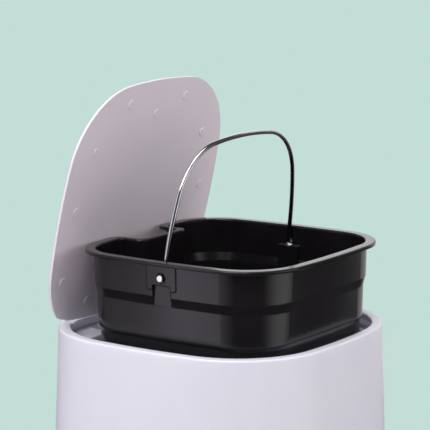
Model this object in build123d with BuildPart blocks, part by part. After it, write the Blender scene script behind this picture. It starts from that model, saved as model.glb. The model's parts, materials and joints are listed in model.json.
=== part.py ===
from build123d import *
import math
import os

os.makedirs("parts", exist_ok=True)

# Sizes in millimetres. +Y is the hinge side, -Y the pedal side, the floor is z = 0.
rim_z = 290.0
rim_half_x = 110.0
rim_half_y = 113.0
rim_side_r = 447.0
rim_corner_r = 73.4
rim_round = 1.3
body_draft = 2.3
body_wall = 2.0
body_foot_z = 5.0
deck = 2.5

# The opening in the rim, with a turned-down lip round it
opening_half_x = 102.2
opening_half_y = 104.5
opening_side_r = 440.0
opening_corner_r = 66.0
opening_y = -1.0
lip_wall = 2.0
lip_z = 285.8

# Ledge that carries the bucket's flange
seat_z = 278.0
seat_thick = 2.8

# Bucket with its flange, lifted off the ledge and drawn a little forwards
lift = 72.4
draw = 5.5
flange_thick = 2.6
flange_z = seat_z + 0.3 + lift + flange_thick
flange_half_x = 95.8
flange_half_y = 92.6
flange_side_r = 750.0
flange_front_r = 48.0
flange_back_r = 41.0
flange_y = -11.1
overhang = 6.6
bucket_wall = 1.2
bucket_height = 223.0
notch_width = 52.0
notch_floor_y = 56.4
notch_margin = 3.0

# Bail of round wire
wire_r = 1.75
bail_pivot_y = -7.0
bail_pivot_z = flange_z - 12.8
bail_lean = 7.9
bail_half = 85.0
bail_rise = 95.0
bail_bend = 2.6

# Lid and its hinge; the lid stands open by lid_open degrees
hinge_y = 92.1
hinge_z = 283.1
hinge_pin_r = 2.5
lid_open = 76.6
lid_half_x = 100.1
lid_half_y = 102.9
lid_side_r = 430.0
lid_corner_r = 65.0
lid_thick = 2.5
lid_under = 6.9
lid_rear = 5.4
paddle_angle = 38.3
paddle_drop = 7.0
paddle_long = 21.5

# Pedal lever on a cross pin, at rest with its front end up
pedal_y = -20.0
pedal_z = 30.0
pedal_pin_r = 3.0
pedal_tilt = 4.0
lever_width = 24.0
lever_thick = 3.0
lever_front = 141.0
lever_rear = 108.0

# Push rod between the lever and the lid
rod_y = 83.0
rod_r = 3.0
rod_head_r = 4.0
rod_foot_r = 7.0
foot_gap = 0.4
head_gap = 1.5

# Column over the rod
column_half_x = 21.0
column_front_y = 72.0
column_back_y = 101.0
column_wall = 2.0
column_top_z = 262.0

screw_r = 1.5
run_gap = 0.05


def spread(z):
    """How far the drafted body has grown outwards at height z."""
    return (rim_z - z) * math.tan(math.radians(body_draft))


def corner_points(half_x, half_y, side_r, corner_r):
    """Start, middle and end of a corner arc tangent to both wide side arcs."""
    side_c = Vector(half_x - side_r, 0)
    end_c = Vector(0, half_y - side_r)
    across = end_c - side_c
    reach = side_r - corner_r
    climb = math.sqrt(reach**2 - (across.length / 2) ** 2)
    corner_c = (side_c + end_c) * 0.5 + Vector(-across.Y, across.X).normalized() * climb
    side = side_c + (corner_c - side_c).normalized() * side_r
    end = end_c + (corner_c - end_c).normalized() * side_r
    knee = corner_c + (side + end - corner_c * 2).normalized() * corner_r
    return side, knee, end


def squircle(half_x, half_y, side_r, front_r, back_r, centre_y=0.0):
    """Rounded square of four wide side arcs and four tangent corner arcs."""
    front = corner_points(half_x, half_y, side_r, front_r)
    rear = corner_points(half_x, half_y, side_r, back_r)
    with BuildSketch() as outline:
        with BuildLine():
            for s in (1, -1):
                ThreePointArc(
                    (s * front[0].X, centre_y - front[0].Y),
                    (s * half_x, centre_y),
                    (s * rear[0].X, centre_y + rear[0].Y),
                )
                for t, points in ((-1, front), (1, rear)):
                    ThreePointArc(*[(s * p.X, centre_y + t * p.Y) for p in points])
            for t, points in ((-1, front), (1, rear)):
                end_y = centre_y + t * points[2].Y
                ThreePointArc(
                    (-points[2].X, end_y), (0, centre_y + t * half_y), (points[2].X, end_y)
                )
        make_face()
    return outline.sketch


def rim_outline(inset):
    """Body plan, moved inwards by inset from the rim's outer edge."""
    corner_r = rim_corner_r - inset
    return squircle(
        rim_half_x - inset, rim_half_y - inset, rim_side_r - inset, corner_r, corner_r
    )


def opening_outline(inset):
    """Plan of the opening in the rim."""
    return squircle(
        opening_half_x - inset,
        opening_half_y - inset,
        opening_side_r - inset,
        opening_corner_r - inset,
        opening_corner_r - inset,
        opening_y,
    )


def flange_outline(inset, back_shift=0.0):
    """Plan of the bucket's flange, moved inwards by inset."""
    return squircle(
        flange_half_x - inset,
        flange_half_y - inset,
        flange_side_r - inset,
        flange_front_r - inset,
        flange_back_r - inset,
        flange_y + back_shift,
    )


def bucket_outline(inset, widen, deepen, root_r, mouth_r):
    """Bucket plan moved inwards by inset, with a rounded notch in its back."""
    with BuildSketch() as outline:
        add(flange_outline(inset))
        with Locations((0, notch_floor_y - deepen + 30)):
            RectangleRounded(notch_width + 2 * widen, 60, root_r, mode=Mode.SUBTRACT)
        fillet(outline.vertices().group_by(Axis.Y)[-1], mouth_r)
    return outline.sketch


def wall_outline(inset, wall):
    """Bucket wall plan at a step's inset; wall is 0 outside and its thickness inside."""
    widen = notch_margin + 0.4 * inset + wall
    deepen = notch_margin + 0.4 * inset + wall
    return bucket_outline(overhang + inset + wall, widen, deepen, 5.5 + wall, 4.5 - wall)


def corner_spots(reach):
    """Four points on the body's corner diagonals, reach from the arc centres."""
    along = reach * math.sqrt(0.5)
    return [(sx * (34.7 + along), sy * (38.0 + along)) for sx in (1, -1) for sy in (1, -1)]


base_spots = corner_spots(rim_corner_r + spread(12.0) - body_wall - 5.8)
ring_spots = corner_spots(rim_corner_r + spread(260.0) - body_wall - 3.7)
ear_spots = [(27, 96.5), (-27, 96.5)]

# Outer body: drafted shell with a flat in-turned rim
with BuildPart() as outer_body:
    with BuildSketch(Plane.XY.offset(body_foot_z)):
        add(rim_outline(-spread(body_foot_z)))
    extrude(amount=rim_z - body_foot_z, taper=body_draft)
    fillet(outer_body.faces().sort_by(Axis.Z)[-1].edges(), rim_round)
    with BuildSketch(Plane.XY.offset(body_foot_z)):
        add(rim_outline(body_wall - spread(body_foot_z)))
    extrude(amount=rim_z - deck - body_foot_z, taper=body_draft, mode=Mode.SUBTRACT)
    # turned-down lip, then the opening through rim and lip
    with BuildSketch(Plane.XY.offset(lip_z)):
        add(opening_outline(-lip_wall))
    extrude(amount=rim_z - deck + 0.5 - lip_z)
    with BuildSketch(Plane.XY.offset(lip_z - 1)):
        add(opening_outline(0))
    extrude(amount=rim_z - lip_z + 2, mode=Mode.SUBTRACT)
    inner_rim = outer_body.edges().filter_by_position(Axis.Z, rim_z - 0.01, rim_z + 0.01)
    fillet([e for e in inner_rim if abs(e.center().X) < 103], 0.9)
    # shallow bed in the rim for the lid's rear edge
    with BuildSketch(Plane.XY.offset(rim_z - 1.6)):
        with Locations((0, 96.6)):
            RectangleRounded(132, 13.4, 5)
    extrude(amount=3, mode=Mode.SUBTRACT)
    # slot in the front wall for the pedal lever
    with BuildSketch(Plane.XZ.offset(110)):
        with Locations((0, 31)):
            RectangleRounded(31, 32, 4)
    extrude(amount=24, mode=Mode.SUBTRACT)
    # screw posts at the foot and under the ledge
    with BuildSketch(Plane.XY.offset(12.4)):
        with Locations(*base_spots):
            Circle(5.2)
    extrude(amount=22)
    with BuildSketch(Plane.XY.offset(seat_z - seat_thick - 30)):
        with Locations(*ring_spots):
            Circle(4.6)
    extrude(amount=30)
    with BuildSketch(Plane.XY.offset(12.4)):
        with Locations(*base_spots):
            Circle(screw_r)
    extrude(amount=14, mode=Mode.SUBTRACT)
    with BuildSketch(Plane.XY.offset(seat_z - seat_thick - 14)):
        with Locations(*ring_spots):
            Circle(screw_r)
    extrude(amount=14, mode=Mode.SUBTRACT)
outer_body.part.label = "outer_body"
export_step(outer_body.part, "parts/outer_body.step")

# Seat ring: flat ledge with a short skirt round the bucket's way in
ring_inset = overhang - 3.4
with BuildPart() as seat_ring:
    with BuildSketch(Plane.XY.offset(seat_z - seat_thick)):
        add(rim_outline(body_wall + 0.4 - spread(seat_z)))
        add(flange_outline(ring_inset, draw), mode=Mode.SUBTRACT)
        with Locations((0, 86.8)):
            Rectangle(45, 34, mode=Mode.SUBTRACT)
        with Locations(*ring_spots):
            Circle(screw_r + 0.2, mode=Mode.SUBTRACT)
    extrude(amount=seat_thick)
    with BuildSketch(Plane.XY.offset(seat_z - 16)):
        add(flange_outline(ring_inset - 2, draw))
        add(flange_outline(ring_inset, draw), mode=Mode.SUBTRACT)
        with Locations((0, 86.8)):
            Rectangle(45, 34, mode=Mode.SUBTRACT)
    extrude(amount=16 - seat_thick)
    # threaded holes for the hinge bracket
    with BuildSketch(Plane.XY.offset(seat_z - seat_thick)):
        with Locations(*ear_spots):
            Circle(screw_r)
    extrude(amount=seat_thick, mode=Mode.SUBTRACT)
seat_ring.part.label = "seat_ring"
export_step(seat_ring.part, "parts/seat_ring.step")

# Ring screws: four pan heads on the ledge
with BuildPart() as ring_screws:
    with BuildSketch(Plane.XY.offset(seat_z)):
        with Locations(*ring_spots):
            Circle(2.6)
    extrude(amount=1.8)
    fillet(ring_screws.faces().sort_by(Axis.Z)[-4:].edges(), 0.8)
    with BuildSketch(Plane.XY.offset(seat_z - 12)):
        with Locations(*ring_spots):
            Circle(screw_r)
    extrude(amount=12)
    with BuildSketch(Plane.XY.offset(seat_z + 0.9)):
        with Locations(*ring_spots):
            Rectangle(3.2, 0.7)
            Rectangle(0.7, 3.2)
    extrude(amount=2, mode=Mode.SUBTRACT)
ring_screws.part.label = "ring_screws"
export_step(ring_screws.part, "parts/ring_screws.step")

# Base plate: closes the body, carries the pedal's ears
with BuildPart() as base_plate:
    with BuildSketch(Plane.XY.offset(2)):
        add(rim_outline(0.6 - spread(body_foot_z)))
    extrude(amount=body_foot_z - 2)
    with BuildSketch(Plane.XY.offset(body_foot_z)):
        add(rim_outline(body_wall + 0.4 - spread(12)))
        add(rim_outline(body_wall + 2.4 - spread(12)), mode=Mode.SUBTRACT)
    extrude(amount=7)
    with BuildSketch(Plane.XY.offset(body_foot_z)):
        with Locations(*base_spots):
            Circle(5.2)
    extrude(amount=7.4)
    for side in (1, -1):
        with BuildSketch(Plane.YZ.offset(side * 15)):
            with Locations((pedal_y, (pedal_z + body_foot_z) / 2)):
                Rectangle(18, pedal_z - body_foot_z)
            with Locations((pedal_y, pedal_z)):
                Circle(9)
                Circle(pedal_pin_r, mode=Mode.SUBTRACT)
        extrude(amount=2, both=True)
    with BuildSketch(Plane.XY.offset(2)):
        with Locations(*base_spots):
            Circle(screw_r + 0.2)
        with Locations((27, 92), (-27, 92)):
            Circle(screw_r)
    extrude(amount=12, mode=Mode.SUBTRACT)
    with BuildSketch(Plane.XY.offset(2)):
        with Locations(*base_spots):
            Circle(3.4)
    extrude(amount=2, mode=Mode.SUBTRACT)
base_plate.part.label = "base_plate"
export_step(base_plate.part, "parts/base_plate.step")

# Non-slip pad: soft sheet that stands on the floor
with BuildPart() as floor_pad:
    with BuildSketch():
        add(rim_outline(4 - spread(body_foot_z)))
    extrude(amount=2)
    chamfer(floor_pad.faces().sort_by(Axis.Z)[0].edges(), 0.6)
floor_pad.part.label = "floor_pad"
export_step(floor_pad.part, "parts/floor_pad.step")

# Base screws: four, heads sunk in the base plate
with BuildPart() as base_screws:
    with BuildSketch(Plane.XY.offset(2.2)):
        with Locations(*base_spots):
            Circle(3.0)
    extrude(amount=1.8)
    with BuildSketch(Plane.XY.offset(4)):
        with Locations(*base_spots):
            Circle(screw_r)
    extrude(amount=20)
    with BuildSketch(Plane.XY.offset(2.2)):
        with Locations(*base_spots):
            Rectangle(3.2, 0.7)
            Rectangle(0.7, 3.2)
    extrude(amount=0.9, mode=Mode.SUBTRACT)
base_screws.part.label = "base_screws"
export_step(base_screws.part, "parts/base_screws.step")

# Mechanism cover: three-sided column in front of the push rod
with BuildPart() as mechanism_cover:
    with BuildSketch(Plane.XY.offset(body_foot_z)):
        with Locations((0, (column_front_y + column_back_y) / 2)):
            Rectangle(2 * column_half_x, column_back_y - column_front_y)
        with Locations((0, (column_front_y + column_wall + column_back_y) / 2 + 1)):
            inner_y = column_back_y - column_front_y - column_wall + 2
            Rectangle(2 * (column_half_x - column_wall), inner_y, mode=Mode.SUBTRACT)
    extrude(amount=column_top_z - body_foot_z)
    front_edges = mechanism_cover.edges().filter_by(Axis.Z)
    fillet(front_edges.group_by(Axis.Y)[0], 1.5)
    with BuildSketch(Plane.XY.offset(body_foot_z)):
        for side in (1, -1):
            with Locations((side * 27, 92)):
                Rectangle(12.2, 16)
                Circle(screw_r + 0.2, mode=Mode.SUBTRACT)
    extrude(amount=2.5)
    with BuildSketch(Plane.XZ.offset(-column_front_y + 1)):
        with Locations((0, 33)):
            RectangleRounded(28.4, 60, 4)
    extrude(amount=-column_wall - 3, mode=Mode.SUBTRACT)
mechanism_cover.part.label = "mechanism_cover"
export_step(mechanism_cover.part, "parts/mechanism_cover.step")

# Cover screws: two through the column's feet into the base plate
with BuildPart() as cover_screws:
    with BuildSketch(Plane.XY.offset(body_foot_z + 2.5)):
        with Locations((27, 92), (-27, 92)):
            Circle(3.0)
    extrude(amount=1.8)
    fillet(cover_screws.faces().sort_by(Axis.Z)[-2:].edges(), 0.8)
    with BuildSketch(Plane.XY.offset(2.4)):
        with Locations((27, 92), (-27, 92)):
            Circle(screw_r)
    extrude(amount=body_foot_z + 0.1)
    with BuildSketch(Plane.XY.offset(body_foot_z + 3.4)):
        with Locations((27, 92), (-27, 92)):
            Rectangle(3.2, 0.7)
            Rectangle(0.7, 3.2)
    extrude(amount=2, mode=Mode.SUBTRACT)
cover_screws.part.label = "cover_screws"
export_step(cover_screws.part, "parts/cover_screws.step")

# Rod guides: two plastic blocks pressed into the column
with BuildPart() as rod_guides:
    for guide_z in (110.0, 236.0):
        with BuildSketch(Plane.XY.offset(guide_z)):
            with Locations((0, 83)):
                Rectangle(2 * (column_half_x - column_wall), 18)
            with Locations((0, rod_y)):
                Circle(rod_r + run_gap, mode=Mode.SUBTRACT)
            with Locations((12.5, 83), (-12.5, 83)):
                SlotOverall(11, 6, 90, mode=Mode.SUBTRACT)
        extrude(amount=9)
rod_guides.part.label = "rod_guides"
export_step(rod_guides.part, "parts/rod_guides.step")

# Heights of the rod's two ends, from where they touch paddle and lever
tilt = math.radians(pedal_tilt)
fold = math.radians(paddle_angle)
lean_in = (hinge_y - rod_y) * math.sin(fold)
head_up_z = hinge_z + (lean_in - rod_head_r - paddle_drop) / math.cos(fold) - head_gap
lever_reach = rod_y - pedal_y
lever_drop = lever_reach * math.sin(tilt)
lever_touch = lever_thick / 2 + rod_foot_r
foot_z = pedal_z + (lever_touch - lever_drop) / math.cos(tilt) + foot_gap
rod_travel = 2 * lever_reach * math.tan(tilt)
head_z = head_up_z - rod_travel

# Push rod: straight steel rod
with BuildPart() as push_rod:
    with BuildSketch(Plane.XY.offset(foot_z - 2)):
        with Locations((0, rod_y)):
            Circle(rod_r)
    extrude(amount=head_z - foot_z + 2)
    chamfer(push_rod.edges().filter_by(GeomType.CIRCLE), 0.4)
push_rod.part.label = "push_rod"
export_step(push_rod.part, "parts/push_rod.step")

# Rod head: domed cap that lifts the lid's paddle
with BuildPart() as rod_head:
    with BuildSketch(Plane.YZ):
        with BuildLine():
            Polyline((rod_y, head_z + rod_head_r), (rod_y, head_z - 10))
            Line((rod_y, head_z - 10), (rod_y + rod_head_r, head_z - 10))
            Line((rod_y + rod_head_r, head_z - 10), (rod_y + rod_head_r, head_z))
            half = rod_head_r * math.sqrt(0.5)
            ThreePointArc(
                (rod_y + rod_head_r, head_z),
                (rod_y + half, head_z + half),
                (rod_y, head_z + rod_head_r),
            )
        make_face()
    revolve(axis=Axis((0, rod_y, 0), (0, 0, 1)))
    with BuildSketch(Plane.XY.offset(head_z - 10)):
        with Locations((0, rod_y)):
            Circle(rod_r)
    extrude(amount=10, mode=Mode.SUBTRACT)
rod_head.part.label = "rod_head"
export_step(rod_head.part, "parts/rod_head.step")

# Rod foot: round-bottomed cap that rides on the lever's end
with BuildPart() as rod_foot:
    with BuildSketch(Plane.YZ):
        with BuildLine():
            Polyline((rod_y, foot_z - rod_foot_r), (rod_y, foot_z + 9))
            Line((rod_y, foot_z + 9), (rod_y + 5, foot_z + 9))
            Line((rod_y + 5, foot_z + 9), (rod_y + 5, foot_z + 3))
            Line((rod_y + 5, foot_z + 3), (rod_y + rod_foot_r, foot_z))
            half = rod_foot_r * math.sqrt(0.5)
            ThreePointArc(
                (rod_y + rod_foot_r, foot_z),
                (rod_y + half, foot_z - half),
                (rod_y, foot_z - rod_foot_r),
            )
        make_face()
    revolve(axis=Axis((0, rod_y, 0), (0, 0, 1)))
    with BuildSketch(Plane.XY.offset(foot_z - 2)):
        with Locations((0, rod_y)):
            Circle(rod_r)
    extrude(amount=12, mode=Mode.SUBTRACT)
rod_foot.part.label = "rod_foot"
export_step(rod_foot.part, "parts/rod_foot.step")

# Hinge bracket: two cheeks and a web, with ears on the ledge
with BuildPart() as hinge_bracket:
    for side in (1, -1):
        with BuildSketch(Plane.YZ.offset(side * 19.5)):
            with Locations((93, 271)):
                Rectangle(18, 18)
            with Locations((hinge_y, 281)):
                Rectangle(10.4, 10)
            with Locations((hinge_y, hinge_z)):
                Circle(5.2)
                Circle(hinge_pin_r, mode=Mode.SUBTRACT)
        extrude(amount=2, both=True)
        with BuildSketch(Plane.XY.offset(seat_z)):
            with Locations((side * 26.2, 96)):
                Rectangle(9.6, 12)
            with Locations((side * 27, 96.5)):
                Circle(screw_r + 0.2, mode=Mode.SUBTRACT)
        extrude(amount=2.0)
    with BuildSketch(Plane.XY.offset(column_top_z)):
        with Locations((0, 101)):
            Rectangle(43, 2)
    extrude(amount=14)
hinge_bracket.part.label = "hinge_bracket"
export_step(hinge_bracket.part, "parts/hinge_bracket.step")

# Bracket screws: two through the ears into the ledge
with BuildPart() as bracket_screws:
    with BuildSketch(Plane.XY.offset(seat_z + 2)):
        with Locations(*ear_spots):
            Circle(3.0)
    extrude(amount=1.8)
    fillet(bracket_screws.faces().sort_by(Axis.Z)[-2:].edges(), 0.8)
    with BuildSketch(Plane.XY.offset(seat_z - 5)):
        with Locations(*ear_spots):
            Circle(screw_r)
    extrude(amount=7)
    with BuildSketch(Plane.XY.offset(seat_z + 2.9)):
        with Locations(*ear_spots):
            Rectangle(3.2, 0.7)
            Rectangle(0.7, 3.2)
    extrude(amount=2, mode=Mode.SUBTRACT)
bracket_screws.part.label = "bracket_screws"
export_step(bracket_screws.part, "parts/bracket_screws.step")

# Hinge pin through the cheeks
with BuildPart() as hinge_pin:
    with BuildSketch(Plane.YZ.offset(-24)):
        with Locations((hinge_y, hinge_z)):
            Circle(hinge_pin_r)
    extrude(amount=48)
    chamfer(hinge_pin.edges().filter_by(GeomType.CIRCLE), 0.5)
hinge_pin.part.label = "hinge_pin"
export_step(hinge_pin.part, "parts/hinge_pin.step")

# Planes carried by the open lid: one flat in it, one across the hinge
open_a = math.radians(lid_open)
lid_plane = Plane(
    origin=(0, hinge_y, hinge_z),
    x_dir=(1, 0, 0),
    z_dir=(0, math.sin(open_a), math.cos(open_a)),
)
lid_side = Plane(
    origin=(0, hinge_y, hinge_z),
    x_dir=(0, -math.cos(open_a), math.sin(open_a)),
    z_dir=(-1, 0, 0),
)
lid_screw_spots = [(14, -20), (-14, -20), (14, -42), (-14, -42)]
ejector_spots = [(0, -167)]
for mark_x, mark_y in ((36, -178), (70, -144), (81.5, -98), (82.7, -41.5), (46.6, -19.7)):
    ejector_spots += [(mark_x, mark_y), (-mark_x, mark_y)]

# Lid: flat panel, its rear edge nearly straight, round ejector marks underneath
with BuildPart() as lid:
    with BuildSketch(lid_plane.offset(lid_under)):
        add(squircle(lid_half_x, lid_half_y, lid_side_r, lid_corner_r, lid_corner_r, -hinge_y))
        with BuildLine():
            Line((-47, -lid_rear), (47, -lid_rear))
            RadiusArc((47, -lid_rear), (86, -lid_rear - 7.9), 98)
            RadiusArc((-47, -lid_rear), (-86, -lid_rear - 7.9), -98)
            Polyline((86, -lid_rear - 7.9), (86, 30), (-86, 30), (-86, -lid_rear - 7.9))
        make_face(mode=Mode.SUBTRACT)
    extrude(amount=lid_thick)
    corners = lid.edges().filter_by(lambda e: abs(e.length - lid_thick) < 0.01)
    fillet(corners.filter_by(lambda e: abs(e.center().X) > 75).group_by(Axis.Z)[0], 9)
    fillet(lid.faces().sort_by(Axis(lid_plane.origin, lid_plane.z_dir))[-1].edges(), 1.0)
    with BuildSketch(lid_plane.offset(lid_under)):
        with Locations(*ejector_spots):
            Circle(3.75)
    extrude(amount=-0.5, taper=35)
    with BuildSketch(lid_plane.offset(lid_under)):
        with Locations(*lid_screw_spots):
            Circle(1.2)
    extrude(amount=1.6, mode=Mode.SUBTRACT)
lid.part.label = "lid"
export_step(lid.part, "parts/lid.step")

# Lid bracket: plate under the lid, knuckle on the pin, paddle over the rod
with BuildPart() as lid_bracket:
    with BuildSketch(lid_plane.offset(lid_under - 3)):
        with Locations((0, -28)):
            RectangleRounded(42, 40, 4)
        with Locations(*lid_screw_spots):
            Circle(1.4, mode=Mode.SUBTRACT)
    extrude(amount=3)
    with BuildSketch(lid_side.offset(-16.5)):
        with BuildLine():
            Polyline((-5.2, 4.0), (5.2, 6.9), (16, 6.9), (16, 3.9), (6, -2.5), (-5.2, 4.0))
        make_face()
        Circle(6.5)
    extrude(amount=33)
    with BuildSketch(lid_side.offset(-7)):
        with BuildLine():
            c = math.cos(fold)
            s = math.sin(fold)
            root = Vector(0, 0)
            far = Vector(paddle_long * c, -paddle_long * s)
            down = Vector(-s, -c) * paddle_drop
            Polyline(root, far, far + down, root + down, root)
        make_face()
    extrude(amount=14)
    with BuildSketch(lid_side.offset(-17)):
        Circle(4.0)
    extrude(amount=34, mode=Mode.SUBTRACT)
lid_bracket.part.label = "lid_bracket"
export_step(lid_bracket.part, "parts/lid_bracket.step")

# Hinge bushes: two nylon sleeves in the knuckle
with BuildPart() as hinge_bushes:
    for start in (-16.5, 4.5):
        with BuildSketch(lid_side.offset(start)):
            Circle(4.0)
            Circle(hinge_pin_r + run_gap, mode=Mode.SUBTRACT)
        extrude(amount=12)
hinge_bushes.part.label = "hinge_bushes"
export_step(hinge_bushes.part, "parts/hinge_bushes.step")

# Lid screws: four through the bracket's plate
with BuildPart() as lid_screws:
    with BuildSketch(lid_plane.offset(lid_under - 4.6)):
        with Locations(*lid_screw_spots):
            Circle(2.6)
    extrude(amount=1.6)
    with BuildSketch(lid_plane.offset(lid_under - 3)):
        with Locations(*lid_screw_spots):
            Circle(1.2)
    extrude(amount=4.4)
    with BuildSketch(lid_plane.offset(lid_under - 4.6)):
        with Locations(*lid_screw_spots):
            Rectangle(2.8, 0.6)
            Rectangle(0.6, 2.8)
    extrude(amount=0.8, mode=Mode.SUBTRACT)
lid_screws.part.label = "lid_screws"
export_step(lid_screws.part, "parts/lid_screws.step")

# Bucket: depth below the flange's top and inset of the wall at each step
wall_steps = [
    (0.0, 0.0),
    (27.0, 0.6),
    (34.0, 2.4),
    (58.5, 3.0),
    (62.0, 4.8),
    (bucket_height - 10.0, 8.6),
    (bucket_height - 5.0, 9.6),
    (bucket_height - 1.5, 11.2),
    (bucket_height, 13.5),
]
pad_proud = 0.5
pad_x = flange_half_x - overhang + 0.2
pad_low_z = bail_pivot_z - 9.3
channel_x = flange_half_x - overhang - wall_steps[2][1]
channel_low_z = flange_z - wall_steps[2][0]
channel_top_z = bail_pivot_z - 5.6
bail_hole_r = 2.7
bail_hole_z = bail_pivot_z + wire_r + run_gap - bail_hole_r
with BuildPart() as bucket:
    for depth, inset in wall_steps:
        with BuildSketch(Plane.XY.offset(flange_z - depth)):
            add(wall_outline(inset, 0))
    loft(ruled=True)
    with BuildSketch(Plane.XY.offset(flange_z - flange_thick)):
        add(bucket_outline(0, 0, 0, 8, 8.5))
    extrude(amount=flange_thick)
    # pads round the bail's holes, standing out a little and following the wall
    with BuildPart(mode=Mode.PRIVATE) as pads:
        for depth, inset in wall_steps[:2]:
            with BuildSketch(Plane.XY.offset(flange_z - depth)):
                add(wall_outline(inset - pad_proud, 0))
        loft(ruled=True)
        with BuildSketch(Plane.YZ.offset(-120)):
            with Locations((bail_pivot_y, (pad_low_z + flange_z - 0.3) / 2)):
                RectangleRounded(26.4, flange_z - 0.3 - pad_low_z, 2)
        extrude(amount=240, mode=Mode.INTERSECT)
    add(pads.part)
    # hollow, leaving a boss on the inside behind each channel
    with BuildPart(mode=Mode.PRIVATE) as hollow:
        for depth, inset in wall_steps[:-1]:
            drop = min(depth, bucket_height - 2.0)
            with BuildSketch(Plane.XY.offset(flange_z - drop)):
                add(wall_outline(inset, bucket_wall))
        loft(ruled=True)
        for side in (1, -1):
            with BuildSketch(Plane.YZ.offset(side * (channel_x - bucket_wall - 0.2))):
                with Locations((bail_pivot_y, (channel_low_z + bail_pivot_z) / 2 - 2.2)):
                    Rectangle(19, bail_pivot_z - channel_low_z - 1.4)
            extrude(amount=side * 8, mode=Mode.SUBTRACT)
    add(hollow.part, mode=Mode.SUBTRACT)
    fillet(bucket.faces().sort_by(Axis.Z)[-1].edges(), 0.6)
    # channel below each pad, flush with the lower wall, and the bail's wide holes
    for side in (1, -1):
        with BuildSketch(Plane.YZ.offset(side * channel_x)):
            with Locations((bail_pivot_y, (channel_low_z + channel_top_z) / 2)):
                Rectangle(15.8, channel_top_z - channel_low_z)
        extrude(amount=side * 8, mode=Mode.SUBTRACT)
        with BuildSketch(Plane.YZ.offset(side * (pad_x - 0.8))):
            with Locations((bail_pivot_y, bail_pivot_z)):
                Circle(3.8)
        extrude(amount=side * 3, mode=Mode.SUBTRACT)
        with BuildSketch(Plane.YZ.offset(side * 70)):
            with Locations((bail_pivot_y, bail_hole_z)):
                Circle(bail_hole_r)
        extrude(amount=side * 30, mode=Mode.SUBTRACT)
bucket.part.label = "bucket"
export_step(bucket.part, "parts/bucket.step")

# Bail handle: one bent wire with a head formed on each end
lean = math.radians(bail_lean)
bail_plane = Plane(
    origin=(0, bail_pivot_y, bail_pivot_z),
    x_dir=(1, 0, 0),
    z_dir=(0, -math.cos(lean), -math.sin(lean)),
)
bail_out = pad_x + 1.2
arch_side_r = 245.0
arch_top_r = 318.0
arch_corner_r = 46.4
arch_c1 = Vector(bail_half - arch_side_r, 0)
arch_c2 = Vector(0, bail_rise - arch_top_r)
arch_gap = arch_c2 - arch_c1
reach_1 = arch_side_r - arch_corner_r
reach_2 = arch_top_r - arch_corner_r
arch_foot = (reach_1**2 - reach_2**2 + arch_gap.length**2) / (2 * arch_gap.length)
arch_climb = math.sqrt(reach_1**2 - arch_foot**2)
arch_turn = Vector(-arch_gap.Y, arch_gap.X).normalized()
arch_c = arch_c1 + arch_gap.normalized() * arch_foot + arch_turn * arch_climb
arch_t1 = arch_c1 + (arch_c - arch_c1).normalized() * arch_side_r
arch_t2 = arch_c2 + (arch_c - arch_c2).normalized() * arch_top_r
arch_m = arch_c + (arch_t1 + arch_t2 - arch_c * 2).normalized() * arch_corner_r
half_turn = (arch_c - arch_c1).get_angle(Vector(1, 0)) / 2
arch_leg = arch_c1 + Vector(arch_side_r, 0).rotate(Axis.Z, half_turn)
lift_up = bail_bend
with BuildPart() as bail_handle:
    with BuildLine(bail_plane) as bail_path:
        bend_m = bail_bend * (1 - math.sqrt(0.5))
        Line((-bail_out, 0), (-bail_half - bail_bend, 0))
        ThreePointArc(
            (-bail_half - bail_bend, 0),
            (-bail_half - bend_m, bend_m),
            (-bail_half, bail_bend),
        )
        ThreePointArc(
            (-bail_half, lift_up), (-arch_leg.X, arch_leg.Y + lift_up), (-arch_t1.X, arch_t1.Y + lift_up)
        )
        ThreePointArc(
            (-arch_t1.X, arch_t1.Y + lift_up),
            (-arch_m.X, arch_m.Y + lift_up),
            (-arch_t2.X, arch_t2.Y + lift_up),
        )
        ThreePointArc(
            (-arch_t2.X, arch_t2.Y + lift_up),
            (0, bail_rise + lift_up),
            (arch_t2.X, arch_t2.Y + lift_up),
        )
        ThreePointArc(
            (arch_t2.X, arch_t2.Y + lift_up),
            (arch_m.X, arch_m.Y + lift_up),
            (arch_t1.X, arch_t1.Y + lift_up),
        )
        ThreePointArc(
            (arch_t1.X, arch_t1.Y + lift_up), (arch_leg.X, arch_leg.Y + lift_up), (bail_half, lift_up)
        )
        ThreePointArc(
            (bail_half, bail_bend),
            (bail_half + bend_m, bend_m),
            (bail_half + bail_bend, 0),
        )
        Line((bail_half + bail_bend, 0), (bail_out, 0))
    with BuildSketch(Plane(origin=(-bail_out, bail_pivot_y, bail_pivot_z), z_dir=(1, 0, 0))):
        Circle(wire_r)
    sweep()
    for side in (1, -1):
        with BuildSketch(Plane.YZ.offset(side * (pad_x + 0.2))):
            with Locations((bail_pivot_y, bail_pivot_z)):
                Circle(2.65)
        extrude(amount=side * 1.7)
    heads = bail_handle.faces().sort_by(Axis.X)
    fillet(heads[0].edges() + heads[-1].edges(), 0.8)
bail_handle.part.label = "bail_handle"
export_step(bail_handle.part, "parts/bail_handle.step")

# Planes carried by the pedal at rest
pedal_plane = Plane(
    origin=(0, pedal_y, pedal_z),
    x_dir=(1, 0, 0),
    z_dir=(0, math.sin(tilt), math.cos(tilt)),
)
tread_y = -125.5

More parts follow.
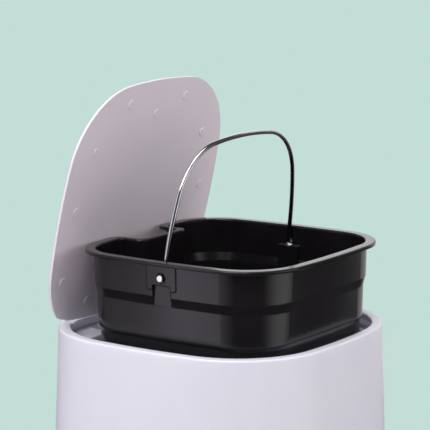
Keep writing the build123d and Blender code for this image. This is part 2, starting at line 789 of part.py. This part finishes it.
# Pedal lever: flat strip with a barrel on the pin
with BuildPart() as pedal_lever:
    with BuildSketch(pedal_plane.offset(-lever_thick / 2)):
        with Locations((0, (lever_rear - lever_front) / 2)):
            RectangleRounded(lever_width, lever_front + lever_rear, 5)
        with Locations((8, tread_y), (-8, tread_y)):
            Circle(2.0, mode=Mode.SUBTRACT)
    extrude(amount=lever_thick)
    with BuildSketch(Plane.YZ.offset(-12.5)):
        with Locations((pedal_y, pedal_z)):
            Circle(7)
    extrude(amount=25)
    with BuildSketch(Plane.YZ.offset(-13)):
        with Locations((pedal_y, pedal_z)):
            Circle(pedal_pin_r + run_gap)
    extrude(amount=26, mode=Mode.SUBTRACT)
pedal_lever.part.label = "pedal_lever"
export_step(pedal_lever.part, "parts/pedal_lever.step")

# Pedal pin across the ears
with BuildPart() as pedal_pin:
    with BuildSketch(Plane.YZ.offset(-20)):
        with Locations((pedal_y, pedal_z)):
            Circle(pedal_pin_r)
    extrude(amount=40)
    chamfer(pedal_pin.edges().filter_by(GeomType.CIRCLE), 0.5)
pedal_pin.part.label = "pedal_pin"
export_step(pedal_pin.part, "parts/pedal_pin.step")

# Pin clips: two washers pressed on the pin outside the ears
with BuildPart() as pin_clips:
    for start in (17.1, -18.3):
        with BuildSketch(Plane.YZ.offset(start)):
            with Locations((pedal_y, pedal_z)):
                Circle(6)
                Circle(pedal_pin_r, mode=Mode.SUBTRACT)
        extrude(amount=1.2)
pin_clips.part.label = "pin_clips"
export_step(pin_clips.part, "parts/pin_clips.step")

# Pedal tread: plate riveted on the lever's front end
with BuildPart() as pedal_tread:
    with BuildSketch(pedal_plane.offset(lever_thick / 2)):
        with Locations((0, tread_y)):
            RectangleRounded(72, 34, 9)
    extrude(amount=3.5)
    with BuildSketch(pedal_plane.offset(lever_thick / 2)):
        with Locations((8, tread_y), (-8, tread_y)):
            Circle(2.0)
    extrude(amount=3.5, mode=Mode.SUBTRACT)
pedal_tread.part.label = "pedal_tread"
export_step(pedal_tread.part, "parts/pedal_tread.step")

# Tread rivets: two, heads under the lever
with BuildPart() as tread_rivets:
    with BuildSketch(pedal_plane.offset(-lever_thick / 2 - 1.4)):
        with Locations((8, tread_y), (-8, tread_y)):
            Circle(3.4)
    extrude(amount=1.4)
    with BuildSketch(pedal_plane.offset(-lever_thick / 2)):
        with Locations((8, tread_y), (-8, tread_y)):
            Circle(2.0)
    extrude(amount=lever_thick + 3.5)
tread_rivets.part.label = "tread_rivets"
export_step(tread_rivets.part, "parts/tread_rivets.step")

# Tread pad: ribbed rubber on the tread
with BuildPart() as tread_pad:
    with BuildSketch(pedal_plane.offset(lever_thick / 2 + 3.5)):
        with Locations((0, tread_y)):
            RectangleRounded(66, 28, 7)
    extrude(amount=1.8)
    with BuildSketch(pedal_plane.offset(lever_thick / 2 + 5.3)):
        with Locations((0, tread_y)):
            with GridLocations(0, 5.2, 1, 4):
                SlotOverall(54, 2.4)
    extrude(amount=1.0)
tread_pad.part.label = "tread_pad"
export_step(tread_pad.part, "parts/tread_pad.step")
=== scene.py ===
import json
import math

import bpy
from mathutils import Matrix, Vector


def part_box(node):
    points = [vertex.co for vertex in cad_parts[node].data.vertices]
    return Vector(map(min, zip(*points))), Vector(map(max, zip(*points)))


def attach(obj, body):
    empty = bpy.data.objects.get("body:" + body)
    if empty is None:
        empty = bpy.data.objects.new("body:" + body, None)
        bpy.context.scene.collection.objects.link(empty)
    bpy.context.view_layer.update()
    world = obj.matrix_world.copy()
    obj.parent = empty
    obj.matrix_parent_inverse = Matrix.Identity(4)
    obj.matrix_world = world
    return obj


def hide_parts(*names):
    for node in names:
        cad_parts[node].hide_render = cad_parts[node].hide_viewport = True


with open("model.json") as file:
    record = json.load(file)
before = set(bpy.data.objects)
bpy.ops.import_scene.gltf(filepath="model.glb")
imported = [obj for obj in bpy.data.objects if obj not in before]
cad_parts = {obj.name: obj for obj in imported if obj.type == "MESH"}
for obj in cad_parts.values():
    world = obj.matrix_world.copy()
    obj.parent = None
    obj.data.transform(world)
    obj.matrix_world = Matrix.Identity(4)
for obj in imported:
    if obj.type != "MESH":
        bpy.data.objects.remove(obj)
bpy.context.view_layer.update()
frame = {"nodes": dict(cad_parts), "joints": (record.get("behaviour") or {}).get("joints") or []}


# Non-slip pad: a 2 mm sheet of soft rubber, cut to the plan of the can and glued
# under the base plate. The can stands on it, so it gathers dust and dull scuffs.
rubber_tones = ((0.3, "#333336"), (0.7, "#4C4C50"))
bloom_patch = 0.006
sand_grain = 0.0008
sand_depth = 0.0002


def tone(code):
    parts = [int(code[i:i + 2], 16) / 255 for i in (1, 3, 5)]
    return [c / 12.92 if c <= 0.04045 else ((c + 0.055) / 1.055) ** 2.4 for c in parts] + [1.0]


def add_node(owner, kind, inputs=None, outputs=None, stops=(), **settings):
    node = owner.node_tree.nodes.new(kind)
    for name, value in settings.items():
        setattr(node, name, value)
    for name, value in (inputs or {}).items():
        if isinstance(value, bpy.types.NodeSocket):
            owner.node_tree.links.new(value, node.inputs[name])
        else:
            node.inputs[name].default_value = value
    for name, target in (outputs or {}).items():
        owner.node_tree.links.new(node.outputs[name], target)
    ramp = node.color_ramp.elements if stops else ()
    while len(ramp) < len(stops):
        ramp.new(0.5)
    for stop, (position, code) in zip(ramp, stops):
        stop.position = position
        stop.color = tone(code)
    return node


def new_finish(name, ior=None, metallic=0.0):
    material = bpy.data.materials.new(name)
    material.use_nodes = True
    skin = material.node_tree.nodes["Principled BSDF"].inputs
    skin["Metallic"].default_value = metallic
    if ior:
        skin["IOR"].default_value = ior
    at = add_node(material, "ShaderNodeTexCoord").outputs["Object"]
    return material, skin, at


def dress(material, *names):
    for name in names:
        for place in frame["nodes"][name].material_slots:
            place.material = material


# moulded nitrile rubber: matte charcoal, with a dusty bloom in patches and a fine
# sandy grain that keeps it from shining
rubber, skin, at = new_finish("moulded_nitrile_rubber", ior=1.52)
noise = {"Vector": at, "Scale": 1 / bloom_patch, "Detail": 4.0}
bloom = add_node(rubber, "ShaderNodeTexNoise", noise).outputs["Fac"]
add_node(rubber, "ShaderNodeValToRGB", {"Fac": bloom}, {"Color": skin["Base Color"]}, stops=rubber_tones)
dulling = {"Value": bloom, "To Min": 0.6, "To Max": 0.85}
add_node(rubber, "ShaderNodeMapRange", dulling, {"Result": skin["Roughness"]})
noise = {"Vector": at, "Scale": 1 / sand_grain, "Detail": 2.0}
sand = add_node(rubber, "ShaderNodeTexNoise", noise).outputs["Fac"]
relief = {"Height": sand, "Strength": 0.3, "Distance": sand_depth}
add_node(rubber, "ShaderNodeBump", relief, {"Normal": skin["Normal"]})
dress(rubber, "floor_pad")


# Base plate: a grey polypropylene moulding that closes the body's foot and carries
# the ears of the pedal. Only its edge shows, as a thin line above the pad.
grey_tones = ((0.3, "#C8C5CC"), (0.7, "#D3D0D7"))
grey_cloud = 0.03
grey_edge_r = 0.0006
peel_grain = 0.001
peel_depth = 0.0002
# matte grey polypropylene: a spark-eroded mould face, so an even orange-peel grain
# with faint flow clouds, and edges that the mould leaves a little round
grey, skin, at = new_finish("matte_grey_polypropylene", ior=1.49)
noise = {"Vector": at, "Scale": 1 / grey_cloud, "Detail": 3.0}
clouds = add_node(grey, "ShaderNodeTexNoise", noise).outputs["Fac"]
add_node(grey, "ShaderNodeValToRGB", {"Fac": clouds}, {"Color": skin["Base Color"]}, stops=grey_tones)
dulling = {"Value": clouds, "To Min": 0.42, "To Max": 0.56}
add_node(grey, "ShaderNodeMapRange", dulling, {"Result": skin["Roughness"]})
edge = add_node(grey, "ShaderNodeBevel", {"Radius": grey_edge_r}, samples=6).outputs["Normal"]
noise = {"Vector": at, "Scale": 1 / peel_grain, "Detail": 2.0}
peel = add_node(grey, "ShaderNodeTexNoise", noise).outputs["Fac"]
relief = {"Height": peel, "Strength": 0.15, "Distance": peel_depth, "Normal": edge}
add_node(grey, "ShaderNodeBump", relief, {"Normal": skin["Normal"]})
dress(grey, "base_plate")


# Pedal: a zinc-plated steel strip on a cross pin, held by two press-on clips. A
# grey tread plate is riveted on its front end, with a ribbed rubber pad on top.
zinc_tones = ((0.1, "#B4B4B8"), (0.9, "#C6C6C9"))
spangle_grain = 0.004
rolled_edge_r = 0.0004
# zinc-plated steel: pale grey metal with a crystal spangle, duller away from the
# middle of each crystal, and rolled edges that catch the light
zinc, skin, at = new_finish("zinc_plated_steel", metallic=1.0)
crystals = {"Vector": at, "Scale": 1 / spangle_grain}
spangle = add_node(zinc, "ShaderNodeTexVoronoi", crystals).outputs["Distance"]
add_node(zinc, "ShaderNodeValToRGB", {"Fac": spangle}, {"Color": skin["Base Color"]}, stops=zinc_tones)
dulling = {"Value": spangle, "To Min": 0.28, "To Max": 0.42}
add_node(zinc, "ShaderNodeMapRange", dulling, {"Result": skin["Roughness"]})
add_node(zinc, "ShaderNodeBevel", {"Radius": rolled_edge_r}, {"Normal": skin["Normal"]}, samples=6)
dress(zinc, "pedal_lever", "pedal_pin", "pin_clips", "tread_rivets")
dress(grey, "pedal_tread")
dress(rubber, "tread_pad")


# Push rod: a straight steel rod with a nylon foot on the lever's rear end and a
# domed nylon head under the lid. It runs in two nylon guides pressed in the column.
nylon_tones = ((0.3, "#DEDBCF"), (0.7, "#E8E5DA"))
milk_cloud = 0.01
# natural nylon: milky and faintly yellow, with soft clouds and a satin skin that
# lets a little light in
nylon, skin, at = new_finish("natural_nylon", ior=1.53)
skin["Subsurface Weight"].default_value = 0.15
skin["Subsurface Radius"].default_value = (0.002, 0.0018, 0.0014)
skin["Subsurface Scale"].default_value = 0.5
milk = add_node(nylon, "ShaderNodeTexNoise", {"Vector": at, "Scale": 1 / milk_cloud}).outputs["Fac"]
add_node(nylon, "ShaderNodeValToRGB", {"Fac": milk}, {"Color": skin["Base Color"]}, stops=nylon_tones)
dulling = {"Value": milk, "To Min": 0.36, "To Max": 0.48}
add_node(nylon, "ShaderNodeMapRange", dulling, {"Result": skin["Roughness"]})
dress(zinc, "push_rod")
dress(nylon, "rod_foot", "rod_head", "rod_guides")


# Outer body: one drafted shell of white polypropylene, injection moulded with its
# broad in-turned rim and the lip round the opening. Four base screws hold it.
shell_tones = ((0.3, "#E1E4F2"), (0.7, "#E7EAF7"))
shell_cloud = 0.12
shell_edge_r = 0.0008
soak_depth = 0.005
mould_grain = 0.0012
mould_depth = 0.0002
# satin white polypropylene: a cool, faintly lavender white with barely seen flow
# clouds and a fine grain; light soaks through the thin wall and softens the lip
shell, skin, at = new_finish("satin_white_polypropylene", ior=1.49)
skin["Subsurface Weight"].default_value = 0.6
skin["Subsurface Radius"].default_value = (1.0, 0.97, 1.0)
skin["Subsurface Scale"].default_value = soak_depth
noise = {"Vector": at, "Scale": 1 / shell_cloud, "Detail": 3.0}
flow = add_node(shell, "ShaderNodeTexNoise", noise).outputs["Fac"]
add_node(shell, "ShaderNodeValToRGB", {"Fac": flow}, {"Color": skin["Base Color"]}, stops=shell_tones)
dulling = {"Value": flow, "To Min": 0.34, "To Max": 0.44}
add_node(shell, "ShaderNodeMapRange", dulling, {"Result": skin["Roughness"]})
edge = add_node(shell, "ShaderNodeBevel", {"Radius": shell_edge_r}, samples=6).outputs["Normal"]
noise = {"Vector": at, "Scale": 1 / mould_grain, "Detail": 2.0}
grain = add_node(shell, "ShaderNodeTexNoise", noise).outputs["Fac"]
relief = {"Height": grain, "Strength": 0.08, "Distance": mould_depth, "Normal": edge}
add_node(shell, "ShaderNodeBump", relief, {"Normal": skin["Normal"]})
dress(shell, "outer_body")
dress(zinc, "base_screws")


# Mechanism cover: a three-sided white column over the push rod, moulded in the same
# polypropylene as the body and screwed to the base plate by its two feet.
dress(shell, "mechanism_cover")
dress(zinc, "cover_screws")


# Seat ring: a white moulded ledge under the rim, with a short skirt. The flange of
# the bucket hangs on it, and four pan-head screws hold it to posts in the body.
dress(shell, "seat_ring")
dress(zinc, "ring_screws")


# Hinge: a bracket of folded steel on the ledge, with a pin through its two cheeks.
# A grey bracket under the lid turns on the pin in two nylon bushes.
dress(zinc, "hinge_bracket", "bracket_screws", "hinge_pin")
dress(grey, "lid_bracket")
dress(nylon, "hinge_bushes")


# Lid: a flat moulded panel of white polypropylene, screwed to its bracket. Its
# underside shows the round marks of the pins that push it out of the mould.
# the lid's tones are the body's white with a painted pinkish tint of the shade under the lid
lid_shade_tinted_tones = ((0.3, "#E6DFE8"), (0.7, "#ECE5ED"))
lid_cloud = 0.08
lid_edge_r = 0.0006
# silk white polypropylene: warmer than the body, a painted pinkish tint of the shade that falls on the
# lid's underside, and a touch smoother, with flow clouds and a fainter grain than the body's
lid_white, skin, at = new_finish("silk_white_polypropylene", ior=1.49)
noise = {"Vector": at, "Scale": 1 / lid_cloud, "Detail": 3.0}
swirl = add_node(lid_white, "ShaderNodeTexNoise", noise).outputs["Fac"]
add_node(lid_white, "ShaderNodeValToRGB", {"Fac": swirl}, {"Color": skin["Base Color"]}, stops=lid_shade_tinted_tones)
dulling = {"Value": swirl, "To Min": 0.3, "To Max": 0.42}
add_node(lid_white, "ShaderNodeMapRange", dulling, {"Result": skin["Roughness"]})
edge = add_node(lid_white, "ShaderNodeBevel", {"Radius": lid_edge_r}, samples=6).outputs["Normal"]
noise = {"Vector": at, "Scale": 1 / mould_grain, "Detail": 2.0}
grain = add_node(lid_white, "ShaderNodeTexNoise", noise).outputs["Fac"]
relief = {"Height": grain, "Strength": 0.06, "Distance": mould_depth, "Normal": edge}
add_node(lid_white, "ShaderNodeBump", relief, {"Normal": skin["Normal"]})
dress(lid_white, "lid")
dress(zinc, "lid_screws")


# Bucket: a black polypropylene liner, moulded in one with its flange, the steps in
# its wall, the notch for the column and a pad round each hole of the bail.
liner_tones = ((0.3, "#110F12"), (0.7, "#181618"))
haze_patch = 0.045
ripple_wave = 0.06
ripple_depth = 0.001
flange_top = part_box("bucket")[1].z
wall_to, flange_from = flange_top - 0.0053, flange_top - 0.0023
wall_edge_r, flange_edge_r = 0.0014, 0.0026
# gloss black polypropylene: a polished mould gives a near-black mirror, with a haze
# of handling, a slow ripple that bends what it mirrors and a rounder flange edge
liner, skin, at = new_finish("gloss_black_polypropylene", ior=1.5)
noise = {"Vector": at, "Scale": 1 / haze_patch, "Detail": 4.0}
haze = add_node(liner, "ShaderNodeTexNoise", noise).outputs["Fac"]
add_node(liner, "ShaderNodeValToRGB", {"Fac": haze}, {"Color": skin["Base Color"]}, stops=liner_tones)
dulling = {"Value": haze, "To Min": 0.14, "To Max": 0.22}
add_node(liner, "ShaderNodeMapRange", dulling, {"Result": skin["Roughness"]})
height = add_node(liner, "ShaderNodeSeparateXYZ", {"Vector": at}).outputs["Z"]
rounding = {
    "Value": height, "From Min": wall_to, "From Max": flange_from,
    "To Min": wall_edge_r, "To Max": flange_edge_r,
}
edge_r = add_node(liner, "ShaderNodeMapRange", rounding).outputs["Result"]
edge = add_node(liner, "ShaderNodeBevel", {"Radius": edge_r}, samples=8).outputs["Normal"]
noise = {"Vector": at, "Scale": 1 / ripple_wave, "Detail": 1.0}
ripple = add_node(liner, "ShaderNodeTexNoise", noise).outputs["Fac"]
relief = {"Height": ripple, "Strength": 0.25, "Distance": ripple_depth, "Normal": edge}
add_node(liner, "ShaderNodeBump", relief, {"Normal": skin["Normal"]})
dress(liner, "bucket")


# Bail: hard-drawn 3.5 mm steel wire, bent to an arch of five arcs, put through the
# bucket's holes and headed outside. Half of it is drawn round its bends and mirrored.
wire_r = 0.00175
wire_sides = 24
wire_tones = ((0.3, "#D6D6DA"), (0.7, "#E0E0E3"))
drawing_mark = 0.003
bail_pivot = Vector(next(j["pos_m"] for j in frame["joints"] if j["name"] == "bail_hinge"))
lean = math.radians(7.9)
across_bail = Vector((1, 0, 0))
up_bail = Vector((0, -math.sin(lean), math.cos(lean)))
leg_half, arch_rise = 0.085, 0.095
leg_bend, corner_bend, top_bend, foot_bend = 0.245, 0.0464, 0.318, 0.0026
leg_steps, corner_steps, top_steps, foot_steps = 14, 28, 6, 10
# the upset head: how far out each ring of it is, and its radius
head_rings = (
    (0.0894, wire_r), (0.0896, 0.00245), (0.0899, 0.00265), (0.091, 0.00265),
    (0.0912, 0.00255), (0.0913, 0.0023), (0.0913, 0.0021), (0.0913, 0.001),
)
# the corner's arc touches the leg's and the top's from inside, so its middle lies
# where the circles of what is left of their radii cross
leg_middle = Vector((leg_half - leg_bend, 0))
top_middle = Vector((0, arch_rise - top_bend))
apart = top_middle - leg_middle
leg_reach, top_reach = leg_bend - corner_bend, top_bend - corner_bend
part_way = (leg_reach ** 2 - top_reach ** 2 + apart.length ** 2) / (2 * apart.length)
sideways = Vector((-apart.y, apart.x)).normalized() * math.sqrt(leg_reach ** 2 - part_way ** 2)
corner_middle = leg_middle + apart.normalized() * part_way + sideways
leg_turn = math.atan2(corner_middle.y - leg_middle.y, corner_middle.x - leg_middle.x)
top_turn = math.atan2(corner_middle.x - top_middle.x, corner_middle.y - top_middle.y)
corner_turn = math.pi / 2 - leg_turn - top_turn


def on_bail(across, rise):
    return bail_pivot + across_bail * across + up_bail * (rise + foot_bend)


bpy.ops.object.select_all(action="DESELECT")
bpy.ops.mesh.primitive_circle_add(
    vertices=wire_sides, radius=wire_r, location=on_bail(0, arch_rise), rotation=(0, math.pi / 2, 0)
)
bail_wire = bpy.context.object
bail_wire.name = "bail_wire"
bpy.ops.object.transform_apply(location=True, rotation=True, scale=True)
bpy.ops.object.mode_set(mode="EDIT")
bpy.ops.mesh.select_all(action="SELECT")
for middle, turned, steps in (
    (on_bail(*top_middle), -top_turn, top_steps),
    (on_bail(*corner_middle), -corner_turn, corner_steps),
    (on_bail(*leg_middle), -leg_turn, leg_steps),
    (on_bail(leg_half + foot_bend, 0), math.pi / 2, foot_steps),
):
    bpy.ops.mesh.spin(steps=steps, angle=turned, center=middle, axis=up_bail.cross(across_bail))
ring_x, ring_r = leg_half + foot_bend, wire_r
for out_x, radius in head_rings:
    bpy.ops.mesh.extrude_region_move(TRANSFORM_OT_translate={"value": (out_x - ring_x, 0, 0)})
    wider = radius / ring_r
    bpy.ops.transform.resize(value=(1, wider, wider), center_override=(out_x, bail_pivot.y, bail_pivot.z))
    ring_x, ring_r = out_x, radius
bpy.ops.mesh.edge_face_add()
bpy.ops.object.mode_set(mode="OBJECT")
bpy.ops.object.modifier_add(type="MIRROR")
bail_wire.modifiers["Mirror"].merge_threshold = 0.00001
bpy.ops.object.modifier_apply(modifier="Mirror")
bpy.ops.object.mode_set(mode="EDIT")
bpy.ops.mesh.select_all(action="SELECT")
bpy.ops.mesh.normals_make_consistent(inside=False)
bpy.ops.object.mode_set(mode="OBJECT")
bpy.ops.object.shade_smooth_by_angle(angle=math.radians(50))
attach(bail_wire, "bail")
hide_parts("bail_handle")
# chromed steel wire: a bright mirror, with drawing marks that change its tone and
# sharpness a little along the wire
chrome, skin, at = new_finish("chromed_steel_wire", metallic=1.0)
noise = {"Vector": at, "Scale": 1 / drawing_mark, "Detail": 2.0}
marks = add_node(chrome, "ShaderNodeTexNoise", noise).outputs["Fac"]
add_node(chrome, "ShaderNodeValToRGB", {"Fac": marks}, {"Color": skin["Base Color"]}, stops=wire_tones)
dulling = {"Value": marks, "To Min": 0.09, "To Max": 0.15}
add_node(chrome, "ShaderNodeMapRange", dulling, {"Result": skin["Roughness"]})
bail_wire.data.materials.append(chrome)


# Floor: a sheet of pale mint paper. Near the can it takes light and shadow, further
# off it is the paper's even tone, and gloss sees it as the dim grey of a dark room.
floor_size = 30
even_mint, lit_mint = "#C3DED7", "#BCD8D0"
even_dim, lit_dim = "#4A484A", "#3C3A3C"
bounce_tone = "#D2CBCF"
lit_to, even_from = 0.3, 0.7
bpy.ops.mesh.primitive_plane_add(size=floor_size)
floor = bpy.context.object
floor.name = "floor"


def sees_backing(owner):
    rays = add_node(owner, "ShaderNodeLightPath").outputs
    looks = {0: rays["Is Camera Ray"], 1: rays["Is Transmission Ray"]}
    direct = add_node(owner, "ShaderNodeMath", looks, operation="MAXIMUM").outputs["Value"]
    all_looks = {0: direct, 1: rays["Is Glossy Ray"]}
    seen = add_node(owner, "ShaderNodeMath", all_looks, operation="MAXIMUM").outputs["Value"]
    return seen, rays["Is Glossy Ray"]


# uncoated mint paper: dead matte, so it shows only its tone and soft shadows
paper = bpy.data.materials.new("pale_mint_paper")
paper.use_nodes = True
paper.node_tree.nodes.remove(paper.node_tree.nodes["Principled BSDF"])
at = add_node(paper, "ShaderNodeTexCoord").outputs["Object"]
away = add_node(paper, "ShaderNodeVectorMath", {0: at}, operation="LENGTH").outputs["Value"]
reach = {"Value": away, "From Min": lit_to, "From Max": even_from}
far = add_node(paper, "ShaderNodeMapRange", reach).outputs["Result"]
seen, mirrored = sees_backing(paper)
two_tones = {0: mirrored, 6: tone(lit_mint), 7: tone(lit_dim)}
lit_tone = add_node(paper, "ShaderNodeMix", two_tones, data_type="RGBA").outputs[2]
lit = add_node(paper, "ShaderNodeBsdfDiffuse", {"Color": lit_tone}).outputs["BSDF"]
two_tones = {0: mirrored, 6: tone(even_mint), 7: tone(even_dim)}
even_tone = add_node(paper, "ShaderNodeMix", two_tones, data_type="RGBA").outputs[2]
even = add_node(paper, "ShaderNodeEmission", {"Color": even_tone}).outputs["Emission"]
bounce = add_node(paper, "ShaderNodeBsdfDiffuse", {"Color": tone(bounce_tone)}).outputs["BSDF"]
shown = add_node(paper, "ShaderNodeMixShader", {0: far, 1: lit, 2: even}).outputs["Shader"]
surface = paper.node_tree.nodes["Material Output"].inputs["Surface"]
add_node(paper, "ShaderNodeMixShader", {0: seen, 1: bounce, 2: shown}, {"Shader": surface})
floor.data.materials.append(paper)


# Studio: a soft surround and six softboxes. The left, front and right ones are also
# mirrored in the bucket, so they fade along their length as their cloths do.
surround_tone, surround_level = "#FFF0F5", 0.25
left_tone = "#F8F3FF"
left_fade = (
    (0.0, "#666666"), (0.43, "#8A8A8A"), (0.495, "#B5B5B5"), (0.54, "#FFFFFF"), (0.58, "#F7F7F7"),
    (0.61, "#DDDDDD"), (0.66, "#B5B5B5"), (0.75, "#909090"), (1.0, "#000000"),
)
front_fade = ((0.0, "#000000"), (0.35, "#FFFFFF"), (0.65, "#FFFFFF"), (1.0, "#000000"))
right_fade = ((0.0, "#BCBCBC"), (0.5, "#BCBCBC"), (0.65, "#FFFFFF"), (1.0, "#FFFFFF"))
world = bpy.data.worlds.new("studio")
bpy.context.scene.world = world
world.use_nodes = True
surround = world.node_tree.nodes["Background"]
surround.inputs["Color"].default_value = tone(surround_tone)
surround.inputs["Strength"].default_value = surround_level
seen, mirrored = sees_backing(world)
two_tones = {0: mirrored, 6: tone(even_mint), 7: tone(even_dim)}
even_tone = add_node(world, "ShaderNodeMix", two_tones, data_type="RGBA").outputs[2]
backing = add_node(world, "ShaderNodeBackground", {"Color": even_tone}).outputs["Background"]
sky = {0: seen, 1: surround.outputs["Background"], 2: backing}
surface = world.node_tree.nodes["World Output"].inputs["Surface"]
add_node(world, "ShaderNodeMixShader", sky, {"Shader": surface})


def softbox(name, place, target, width, height, power, fade=()):
    bpy.ops.object.light_add(type="AREA", location=place)
    lamp = bpy.context.object
    lamp.name = name
    lamp.data.shape = "RECTANGLE"
    lamp.data.size = width
    lamp.data.size_y = height
    lamp.data.energy = power
    lamp.rotation_euler = (Vector(target) - Vector(place)).to_track_quat("-Z", "Y").to_euler()
    lamp.visible_camera = False
    if fade:
        lamp.data.use_nodes = True
        glow = lamp.data.node_tree.nodes["Emission"].inputs["Strength"]
        cloth = add_node(lamp.data, "ShaderNodeNewGeometry").outputs["Parametric"]
        along = add_node(lamp.data, "ShaderNodeSeparateXYZ", {"Vector": cloth}).outputs["X"]
        add_node(lamp.data, "ShaderNodeValToRGB", {"Fac": along}, {"Color": glow}, stops=fade)
    return lamp


left_softbox = softbox(
    "left_softbox", place=(-0.69, 0.465, 0.75), target=(0, 0, 0.75),
    width=1.5, height=1.5, power=10.8, fade=left_fade,
)
left_softbox.data.color = tone(left_tone)[:3]
softbox(
    "high_softbox", place=(-0.9, -0.2, 1.2), target=(0, 0, 0.35),
    width=0.9, height=0.8, power=9.4,
)
softbox(
    "front_softbox", place=(0.29, -0.9, 0.33), target=(0.29, 0, 0.33),
    width=1.35, height=0.64, power=2.9, fade=front_fade,
)
softbox(
    "right_softbox", place=(0.95, 0.19, 0.56), target=(0, 0, 0.56),
    width=1.45, height=1.1, power=5.8, fade=right_fade,
)
# the fill lifts the underside of the lid and stays out of what gloss mirrors
fill_softbox = softbox(
    "fill_softbox", place=(0.25, -1.45, 0.75), target=(0, 0, 0.3),
    width=1.0, height=0.8, power=2.9,
)
fill_softbox.visible_glossy = False
softbox(
    "top_softbox", place=(-0.2, -0.1, 1.9), target=(0, 0, 0.3),
    width=1.5, height=1.2, power=13,
)


# Camera: it stands to the left of the pedal and looks down a little on the rim. The
# lens is long, and the can is set low in the picture, so that its foot is cut off.
turn = math.radians(55.99)
dip = math.radians(10.07)
distance, aside, above = 1.623, -0.00457, 0.08246
back = Vector((-math.sin(turn) * math.cos(dip), -math.cos(turn) * math.cos(dip), math.sin(dip)))
right = Vector((math.cos(turn), -math.sin(turn), 0))
up = Vector((math.sin(dip) * math.sin(turn), math.sin(dip) * math.cos(turn), math.cos(dip)))
rim = Vector((0, 0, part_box("outer_body")[1].z))
stand = rim + back * distance + right * aside + up * above
lens = bpy.data.cameras.new("camera")
lens.sensor_width = 36
lens.lens = 176.46
camera = bpy.data.objects.new("camera", lens)
bpy.context.scene.collection.objects.link(camera)
camera.matrix_world = Matrix.Translation(stand) @ Matrix((right, up, back)).transposed().to_4x4()
bpy.context.scene.camera = camera
bpy.context.scene.view_settings.view_transform = "Standard"
